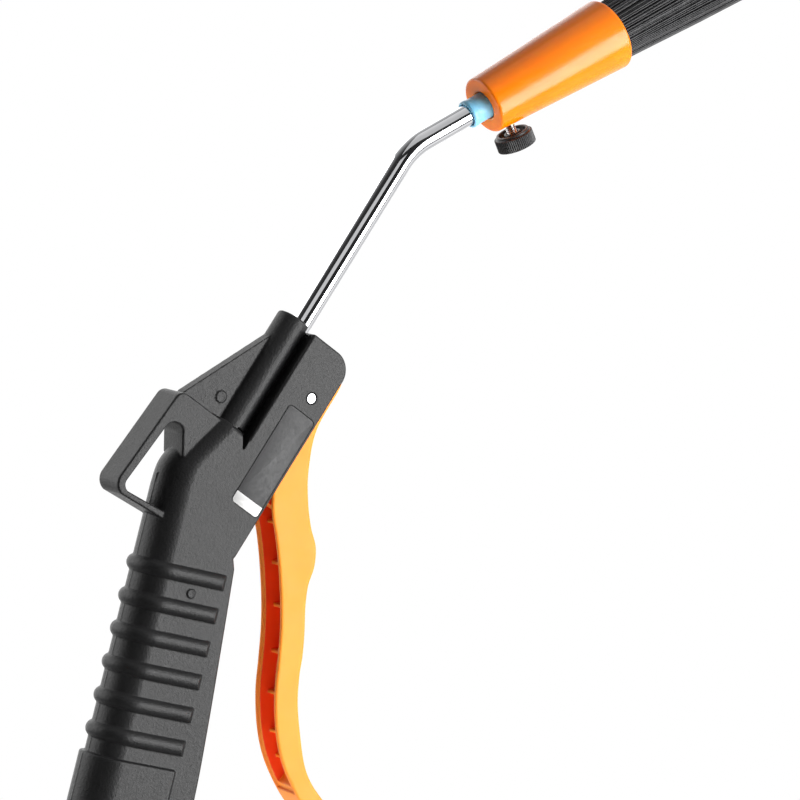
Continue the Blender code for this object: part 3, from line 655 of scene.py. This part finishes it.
def make_body(materials):
    body = slab("body_skin", grip_outline(), BODY_HALF, GRIP, GRIP_EDGE, 5)
    combine(body, "INTERSECT", make_grip_loft(), make_shelf())
    block = slab("block", block_outline(), BODY_HALF, BOSS, BLOCK_EDGE, 4)
    boss_profile = rounded([(0, 0), (BOSS_RADIUS, 0), (BOSS_RADIUS, -62), (0, -62)], 1.0)
    boss = turned("boss", boss_profile, BOSS @ Matrix.Translation((BOSS_X, 0, 0)))
    sail = [(-28.2, -50.0), (-27.2, -46.0), (-5.5, -2.6), (2.0, -2.6), (2.0, -50.0)]
    web = slab("web", sail, WEB_HALF, BOSS)
    hook = slab("hook", hook_outline(), HOOK_HALF, BOSS, 0.6, 3)
    marks = [
        ejector_mark("web_mark", -26.6, -32.4, -WEB_HALF, 2.1),
        ejector_mark("grip_mark", -23.8, -103.2, -BODY_HALF, 1.6),
    ]
    combine(body, "UNION", block, boss, web, hook, make_cuff(), *make_ribs(), *make_parting_lines(), *marks)

    slot = slab("slot", [(8.0, -4.5), (40.0, -4.5), (40.0, -74.0), (8.0, -66.0)], 8.2, BOSS)
    cuts = [
        slot,
        cutter("tube_bore", 4.3, -47.2, 5.0, BOSS),
        cutter("outlet", 2.0, VALVE_Z, -45.0, BOSS, 2.0),
        cutter("chamber", 5.6, -16.3, 9.0, VALVE),
        cutter("channel", 3.0, -195.0, -52.0, GRIP, -30.6),
        cutter("pocket", 8.8, GRIP_BOTTOM - 5, -189.3, GRIP, INLET_X),
        slab("pin_hole", circle(*PIN, 2.15), 15.0, BOSS),
        slab("panel", panel_outline(), 0.35, BOSS @ Matrix.Translation((0, -BODY_HALF, 0))),
        *make_shelf_pockets(),
    ]
    combine(body, "DIFFERENCE", *cuts)
    mould(body, "gun_body_shell", materials["black_nylon"], 0.26, 3, 0.4)
    use(body, "gun_body", "black_nylon", "body")

    plate_at = BOSS @ Matrix.Translation((0, 0.2 - BODY_HALF, 0))
    plate = slab("rating_plate", panel_outline(0.12), 0.2, plate_at, 0.06, 2, material=materials["plate"])
    use(plate, "gun_body", "black_nylon")
    strip_at = BOSS @ Matrix.Translation((0, -BODY_HALF, 0))
    strip = slab("rating_strip", panel_outline(0.2, STRIP_TOP), 0.05, strip_at, material=materials["strip"])
    use(strip, "gun_body", "white_nylon")


def make_pin(materials):
    profile = rounded([(0, 10.5), (2.0, 10.5), (2.0, -10.5), (0, -10.5)], 0.35, 4)
    pin = turned("lever_pin_steel", profile, PIVOT, materials["plated_steel"], 64)
    use(pin, "gun_body", "plated_steel", "lever_pin")


# ---------------------------------------------------------------- lever


def lever_front():
    """The finger side of the lever from its top to its tip, in the grip frame."""
    top = [to_grip(20.5, -7.6), to_grip(23.6, -10.6)]
    reach = [
        (12.9, -35.6), (13.6, -50.3), (16.4, -61.0), (20.4, -70.4), (24.4, -77.0), (25.9, -84.2),
        (25.3, -91.4), (26.3, -99.1), (28.6, -108.5), (30.2, -117.0), (30.9, -124.0), (33.0, -134.0),
        (37.0, -144.5), (42.0, -155.3), (47.0, -161.8), (54.2, -167.6),
    ]  # fmt: skip
    return smooth([*top, *reach], 10)


def lever_back():
    """The open side of the lever from its top to its tip, in the grip frame."""
    top = [to_grip(13.0, -9.5), to_grip(9.2, -15.5), to_grip(8.9, -23.0), to_grip(11.6, -34.0)]
    reach = [
        to_grip(18.4, -50.0), (2.4, -66.8), (7.3, -77.6), (11.2, -87.0), (15.5, -99.2), (18.6, -110.5),
        (20.8, -122.0), (23.0, -134.0), (27.4, -147.0), (33.2, -157.4), (41.8, -167.2), (49.8, -174.0),
    ]  # fmt: skip
    return smooth([*top, *reach], 10)


def make_lever_rib(name, back, length):
    """A thin plate across the lever's channel, deep between the channel's walls."""
    at, along = walk(back, length)
    inward = Vector((-along.y, along.x))
    near = at + inward * LEVER_RIB_DROP
    far = at + inward * 8.6
    half = along * 0.6
    outline = [tuple(near - half), tuple(near + half), tuple(far + half), tuple(far - half)]
    return slab(name, outline, LEVER_HALF - 1.0, GRIP)


def paint_channel_shade(lever, material, inside):
    """Paints the channel's side walls a deeper red orange: painted shade and painted red bounce light, standing in for
    the light that dims and reddens inside the channel of translucent plastic.
    """
    lever.data.materials.append(material)
    for face in lever.data.polygons:
        if abs(face.center.y) < inside and abs(face.normal.y) > 0.6:
            face.material_index = 1


def make_lever(materials):
    front = lever_front()
    back = lever_back()
    lever = slab("lever_skin", [*front, *reversed(back)], LEVER_HALF, GRIP, 0.8, 4)
    channel_front = offset(front, -LEVER_FRONT_WALL)[14:-14]
    channel_back = offset(back, -6.0)[30:-10]
    inner = LEVER_HALF - LEVER_WALL
    combine(lever, "DIFFERENCE", slab("channel", [*channel_front, *reversed(channel_back)], inner, GRIP))

    step_front = offset(back, 1.1)[40:-10]
    step_back = offset(back, -6.0)[40:-10]
    combine(lever, "DIFFERENCE", slab("step", [*step_front, *reversed(step_back)], inner + 0.8, GRIP))

    hub = slab("hub", circle(*to_grip(*PIN), 4.3), LEVER_HALF - 1.0, GRIP)
    web_corners = ((14.0, -23.5), (14.0, -19.5), (22.8, -19.5), (22.8, -23.5))
    web = slab("hub_web", [to_grip(x, z) for x, z in web_corners], 1.2, GRIP)
    pad_corners = ((24.2, -60.6), (24.2, -55.4), (38.0, -55.4), (41.0, -60.6))
    pad = slab("pad", [to_grip(x, z) for x, z in pad_corners], 3.0, GRIP)
    ribs = []
    for i, length in enumerate(LEVER_RIB_LENGTHS):
        ribs.append(make_lever_rib(f"lever_rib_{i + 1}", back[40:], length))
    combine(lever, "UNION", hub, web, pad, *ribs)
    combine(lever, "DIFFERENCE", slab("bore", circle(*to_grip(*PIN), 2.3), 12.0, GRIP))
    mould(lever, "squeeze_lever", materials["orange_plastic"], 0.3, 3, 0.5)
    # The channel's side walls get the painted shade colour.
    paint_channel_shade(lever, materials["channel_shade_orange"], (inner + 0.3) * MM)
    use(lever, "lever", "orange_plastic", "lever")


# ---------------------------------------------------------------- nozzle and inlet


def tube_line():
    """The tube's centre line in the boss frame: straight, an arc, straight."""
    cut = BEND_RADIUS * math.tan(NOZZLE_BEND / 2)
    points = [(0.0, 0.0, -45.0 + 6.0 * i) for i in range(18)]
    points = [p for p in points if p[2] < BEND_VERTEX - cut - 2]
    for i in range(33):
        angle = NOZZLE_BEND * i / 32
        height = BEND_VERTEX - cut + BEND_RADIUS * math.sin(angle)
        points.append((BEND_RADIUS * (1 - math.cos(angle)), 0.0, height))
    for i in range(1, 12):
        reach = cut + (VERTEX_TO_FACE + 22.0 - cut) * i / 11
        points.append((reach * math.sin(NOZZLE_BEND), 0.0, BEND_VERTEX + reach * math.cos(NOZZLE_BEND)))
    return points


def make_tube(materials):
    """The tube, with a smooth wall inside and out."""
    work = bmesh.new()
    line = [Vector(p) for p in tube_line()]
    sides = 72
    walls = []
    for radius in (4.0, 3.0):
        wall = []
        for i, point in enumerate(line):
            along = (line[min(i + 1, len(line) - 1)] - line[max(i - 1, 0)]).normalized()
            up = along.cross(Vector((0, 1, 0)))
            ring = []
            for k in range(sides):
                turn = 2 * math.pi * k / sides
                outwards = Vector((0, 1, 0)) * math.cos(turn) + up * math.sin(turn)
                ring.append(work.verts.new(point + outwards * radius))
            wall.append(ring)
        walls.append(wall)
    skin(work, walls[0] + walls[1][::-1], True)
    tube = finish_mesh("bent_tube", work, BOSS, materials["chromed_steel"])
    use(tube, "gun_body", "chromed_steel", "nozzle_tube")


def make_inlet(materials):
    """The brass insert, the washer and the hose nipple at the foot of the grip."""
    top, foot = -189.6, -205.6
    insert = [(4.4, top), (8.5, top), (8.5, foot), (6.6, foot), (6.6, foot + 11), (4.4, foot + 12)]
    made = turned("brass_insert", rounded(insert, 0.3, 3), INLET, materials["brass"])
    use(made, "gun_body", "brass", "inlet_insert")
    washer = [(6.6, -207.1), (6.6, -205.9), (8.3, -205.9), (8.3, -207.1)]
    made = turned("nylon_washer", rounded(washer, 0.3, 3), INLET, materials["white_nylon"])
    use(made, "gun_body", "white_nylon", "inlet_washer")

    hex_top = -207.4
    corners = 7.0 / math.cos(math.pi / 6)
    middle = INLET @ Matrix.Translation((0, 0, hex_top - 2.75))
    hexagon = arc(0, 0, corners, 0, 300, 5)
    nut = slab("hose_plug", hexagon, 2.75, middle, upright=False, material=materials["plated_steel"])
    chamfer = [(0, 2.9), (7.0, 2.9), (8.6, 2.0), (8.6, -2.0), (7.0, -2.9), (0, -2.9)]
    combine(nut, "INTERSECT", turned("chamfer", chamfer, middle))
    foot = hex_top - 5.5
    plug = [
        (0, -195.6), (5.7, -195.6), (6.3, -196.4), (6.3, foot - 1), (4.6, foot - 2), (4.6, foot - 6.5), (5.9, foot - 8),
        (5.9, foot - 10.5), (4.0, foot - 12.5), (4.0, foot - 15.5), (4.9, foot - 16.5), (4.9, foot - 21),
        (4.2, foot - 22.5), (0, foot - 22.5),
    ]  # fmt: skip
    combine(nut, "UNION", turned("plug", rounded(plug, 0.5, 4), INLET))
    combine(nut, "DIFFERENCE", cutter("bore", 2.6, foot - 30, -190.0, INLET))
    bevel = nut.modifiers.new("edges", "BEVEL")
    bevel.width = 0.15 * MM
    bevel.segments = 2
    bevel.limit_method = "ANGLE"
    bevel.angle_limit = math.radians(32)
    freeze(nut)
    nut.data.materials.clear()
    nut.data.materials.append(materials["plated_steel"])
    nut.data.set_sharp_from_angle(angle=math.radians(35))
    use(nut, "gun_body", "plated_steel", "hose_nipple")


# ---------------------------------------------------------------- brush head


def ferrule_radius(station):
    return FERRULE_SMALL + (FERRULE_BIG - FERRULE_SMALL) * station / FERRULE_LENGTH


def make_sleeve(materials):
    """The collar on the tube, with a lip at its outer end."""
    profile = [
        (4.3, 19.0), (5.1, 19.0), (5.1, -5.6), (5.35, -6.3), (5.35, -7.4), (4.9, -8.0), (4.3, -8.0),
    ]  # fmt: skip
    made = turned("tube_collar", rounded(profile, 0.3, 4), BRUSH, materials["blue_plastic"], 128)
    use(made, "sleeve", "blue_plastic", "nozzle_sleeve")


def make_ferrule(materials):
    profile = [
        (ferrule_radius(FERRULE_LENGTH) - FERRULE_WALL, FERRULE_LENGTH), (FERRULE_BIG, FERRULE_LENGTH),
        (FERRULE_SMALL, 0), (SLEEVE_RADIUS + GAP, 0), (SLEEVE_RADIUS + GAP, SOCKET_DEPTH),
        (ferrule_radius(SOCKET_DEPTH + 2) - FERRULE_WALL, SOCKET_DEPTH + 2),
    ]  # fmt: skip
    made = turned("brush_cone", rounded(profile, 1.1, 8), BRUSH, materials["ferrule_plastic"], 160)
    combine(made, "DIFFERENCE", cutter("insert_hole", 3.6, 2.0, 14.0, SCREW))
    made.data.materials.clear()
    made.data.materials.append(materials["ferrule_plastic"])
    made.data.set_sharp_from_angle(angle=math.radians(40))
    use(made, "brush_head", "orange_plastic", "brush_ferrule")


def make_bristles(materials):
    """Straight filaments from the holder to the tip, in tufts that spread a little."""
    rng = random.Random(7)
    work = bmesh.new()
    mouth = ferrule_radius(FERRULE_LENGTH) - FERRULE_WALL - 0.5
    root_outer = ferrule_radius(BRISTLE_ROOT) - FERRULE_WALL - GAP - 0.6
    count, sides = 800, 6
    tufts = [(rng.uniform(-1, 1), rng.uniform(-1, 1)) for _ in range(64)]
    for n in range(count):
        share = math.sqrt((n + 0.5) / count)
        turn = n * 2.399963 + rng.uniform(-0.05, 0.05)
        root = AIR_HOLE + 0.5 + (root_outer - AIR_HOLE - 0.5) * share
        at_mouth = AIR_HOLE + 0.5 + (mouth - 0.4 - AIR_HOLE - 0.5) * share
        tuft = tufts[int((turn % (2 * math.pi)) / (2 * math.pi) * 16) * 4 + int(share * 3.99)]
        length = BRISTLE_LENGTH - rng.uniform(0.0, 1.2)
        spread = at_mouth + BRISTLE_LENGTH * BRISTLE_FLARE * share - 0.5
        drift = turn + 0.07 * tuft[0] + rng.uniform(-0.015, 0.015)
        stations = [(root, turn, BRISTLE_ROOT), (at_mouth, turn, FERRULE_LENGTH)]
        halfway = (at_mouth + spread) / 2 + 0.15 * tuft[1]
        stations.append((halfway, (turn + drift) / 2, FERRULE_LENGTH + length / 2))
        stations.append((spread - 0.4 * abs(tuft[1]), drift, FERRULE_LENGTH + length))
        thickness = rng.uniform(0.26, 0.34)
        rings = []
        for radius, angle, z in stations:
            centre = Vector((radius * math.cos(angle), radius * math.sin(angle), z))
            rings.append(
                [
                    work.verts.new(centre + Vector((math.cos(a), math.sin(a), 0)) * thickness)
                    for a in (2 * math.pi * k / sides for k in range(sides))
                ]
            )
        skin(work, rings, False)
        work.faces.new(rings[0][::-1])
        work.faces.new(rings[-1])
    made = finish_mesh("bristles", work, BRUSH, materials["bristle_nylon"])
    made.data.set_sharp_from_angle(angle=math.radians(70))
    use(made, "brush_head", "bristle_nylon", "bristle_bundle")


def make_thumb_screw(materials):
    """The threaded shank and the knurled, dished knob."""
    start, height = 15.4, 4.9
    steel = materials["plated_steel"]
    shank = threaded("screw_thread", 1.62, 1.95, 0.7, SLEEVE_RADIUS + 1.8, start + height - 1.2, SCREW, steel)
    use(shank, "thumb_screw", "plated_steel", "screw_shank")
    hole = 2.25
    profile = [
        (hole, start - 0.9), (3.2, start - 0.9), (3.5, start + 0.5), (5.0, start + 0.5), (5.3, start - 1.1),
        (6.3, start - 1.1), (6.4, start), (7.4, start), (7.4, start + height), (0, start + height),
        (0, start + height - 0.9), (hole, start + height - 0.9),
    ]  # fmt: skip
    knob = turned("knurled_knob", rounded(profile, 0.35, 4), SCREW, materials["black_knob"], 480, 60, 0.3, 6.9)
    use(knob, "thumb_screw", "black_knob", "thumb_knob")


# ---------------------------------------------------------------- solids that stay


def dress_solids(materials):
    """Gives the inner solids, which keep their shape, their materials."""
    shown = {
        "valve_seat": "brass", "valve_poppet": "brass", "valve_stem": "plated_steel", "gland_nut": "brass",
        "stem_o_ring": "rubber", "gland_o_ring": "rubber", "poppet_seal": "rubber", "nozzle_o_ring": "rubber",
        "valve_spring": "plated_steel", "bristle_holder": "white_nylon", "screw_insert": "brass",
        "pressure_pad": "white_nylon",
    }  # fmt: skip
    for name, slot in shown.items():
        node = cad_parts[name]
        node.data.materials.clear()
        node.data.materials.append(materials[slot])


# ---------------------------------------------------------------- studio


def softbox(name, direction, distance, width, height, power, aim, glossy=True, diffuse=True):
    """A rectangular soft light. It can light surfaces without showing in them, or only show in them."""
    lamp = bpy.data.lights.new(name, "AREA")
    lamp.shape = "RECTANGLE"
    lamp.size = width
    lamp.size_y = height
    lamp.energy = power
    made = bpy.data.objects.new(name, lamp)
    away = Vector(direction).normalized()
    made.location = aim + away * distance
    made.rotation_euler = (-away).to_track_quat("-Z", "Y").to_euler()
    made.visible_glossy = glossy
    made.visible_diffuse = diffuse
    bpy.context.scene.collection.objects.link(made)


def make_world(dark_side):
    """White for the camera. For light and reflections, a room with a dark side and a pale side."""
    world = bpy.data.worlds.new("studio")
    world.use_nodes = True
    bpy.context.scene.world = world
    tree = world.node_tree
    backdrop = tree.nodes["Background"]
    backdrop.inputs["Color"].default_value = (1.0, 1.0, 1.0, 1.0)
    direction = tree.nodes.new("ShaderNodeTexCoord").outputs["Generated"]
    facing = tree.nodes.new("ShaderNodeVectorMath")
    facing.operation = "DOT_PRODUCT"
    facing.inputs[1].default_value = dark_side
    tree.links.new(direction, facing.inputs[0])
    share = tree.nodes.new("ShaderNodeMapRange")
    share.inputs["From Min"].default_value = -1.0
    tree.links.new(facing.outputs["Value"], share.inputs["Value"])
    ramp = tree.nodes.new("ShaderNodeValToRGB")
    stops = ramp.color_ramp.elements
    while len(stops) < 4:
        stops.new(0.5)
    for stop, (position, light) in zip(stops, ((0.0, 0.9), (0.5, 0.25), (0.75, 0.04), (1.0, 0.01))):
        stop.position = position
        stop.color = (light, light, light, 1.0)
    tree.links.new(share.outputs["Result"], ramp.inputs["Fac"])
    room = tree.nodes.new("ShaderNodeBackground")
    tree.links.new(ramp.outputs["Color"], room.inputs["Color"])
    seen = tree.nodes.new("ShaderNodeLightPath")
    mix = tree.nodes.new("ShaderNodeMixShader")
    tree.links.new(seen.outputs["Is Camera Ray"], mix.inputs["Fac"])
    tree.links.new(room.outputs["Background"], mix.inputs[1])
    tree.links.new(backdrop.outputs["Background"], mix.inputs[2])
    tree.links.new(mix.outputs["Shader"], tree.nodes["World Output"].inputs["Surface"])


def make_floor(low):
    """A pale round floor below the gun, with a soft overhead light of its own."""
    nodes = Nodes("pale_floor", (0.82, 0.82, 0.82), 0.7)
    nodes.colour(nodes.noise(3.0, 3.0), (0.3, (0.81, 0.81, 0.81)), (0.7, (0.83, 0.83, 0.83)))
    at = Matrix.Translation((60.0, 0, low.z / MM - 25.0))
    floor = turned("floor", [(0, 0), (600.0, 0), (600.0, -4.0), (0, -4.0)], at, nodes.material)
    floor.visible_glossy = False
    lamp = bpy.data.lights.new("floor_light", "SUN")
    lamp.energy = 3.8
    lamp.angle = math.radians(50)
    made = bpy.data.objects.new("floor_light", lamp)
    bpy.context.scene.collection.objects.link(made)
    lit = bpy.data.collections.new("lit_floor")
    lit.objects.link(floor)
    made.light_linking.receiver_collection = lit


def make_studio():
    aim = Vector((0.05, 0.0, 0.03))
    softbox("key_right", (0.56, -0.82, 0.0), 1.5, 0.75, 1.6, 28.0, aim)
    softbox("fill", (0.45, -0.75, 0.5), 1.5, 1.2, 1.2, 19.0, aim, glossy=False)
    softbox("top", (-0.15, -0.3, 0.94), 1.3, 1.2, 1.2, 2.2, aim, diffuse=False)
    softbox("front_top", (-0.5, -0.75, 0.42), 1.4, 0.8, 0.4, 0.6, aim, diffuse=False)
    softbox("rim_left", (-0.8, 0.6, 0.1), 1.4, 1.2, 1.5, 11.0, aim, diffuse=False)
    softbox("side_right", (0.95, -0.31, 0.0), 1.6, 0.6, 1.2, 1.1, aim, diffuse=False)
    softbox("rim_right", (0.85, 0.5, 0.0), 1.6, 1.5, 1.2, 12.0, aim, glossy=False)
    softbox("back", (0.2, 0.95, 0.25), 1.6, 2.0, 2.0, 12.0, aim)
    make_world((-0.54, -0.84, 0.0))
    make_floor(cad_box[0])


def make_camera():
    """A long lens, low on the left and behind the grip, rolled so that the gun leans to the right."""
    azimuth, elevation, roll = math.radians(-32.6), math.radians(-0.7), math.radians(13.87)
    aim = Vector((0.0800, -0.0215, 0.0272))
    distance = 1.5
    flat = math.cos(elevation)
    back = Vector((math.sin(azimuth) * flat, -math.cos(azimuth) * flat, math.sin(elevation)))
    lens = bpy.data.cameras.new("camera")
    lens.lens = 186.3
    lens.sensor_width = 36.0
    made = bpy.data.objects.new("camera", lens)
    made.location = aim + back * distance
    made.rotation_mode = "QUATERNION"
    made.rotation_quaternion = (-back).to_track_quat("-Z", "Y") @ Quaternion((0, 0, 1), roll)
    bpy.context.scene.collection.objects.link(made)
    bpy.context.scene.camera = made
    bpy.context.scene.view_settings.view_transform = "Standard"


made_materials = make_materials()
make_camera()
make_studio()
make_body(made_materials)
make_pin(made_materials)
make_lever(made_materials)
make_tube(made_materials)
make_inlet(made_materials)
make_sleeve(made_materials)
make_ferrule(made_materials)
make_bristles(made_materials)
make_thumb_screw(made_materials)
dress_solids(made_materials)
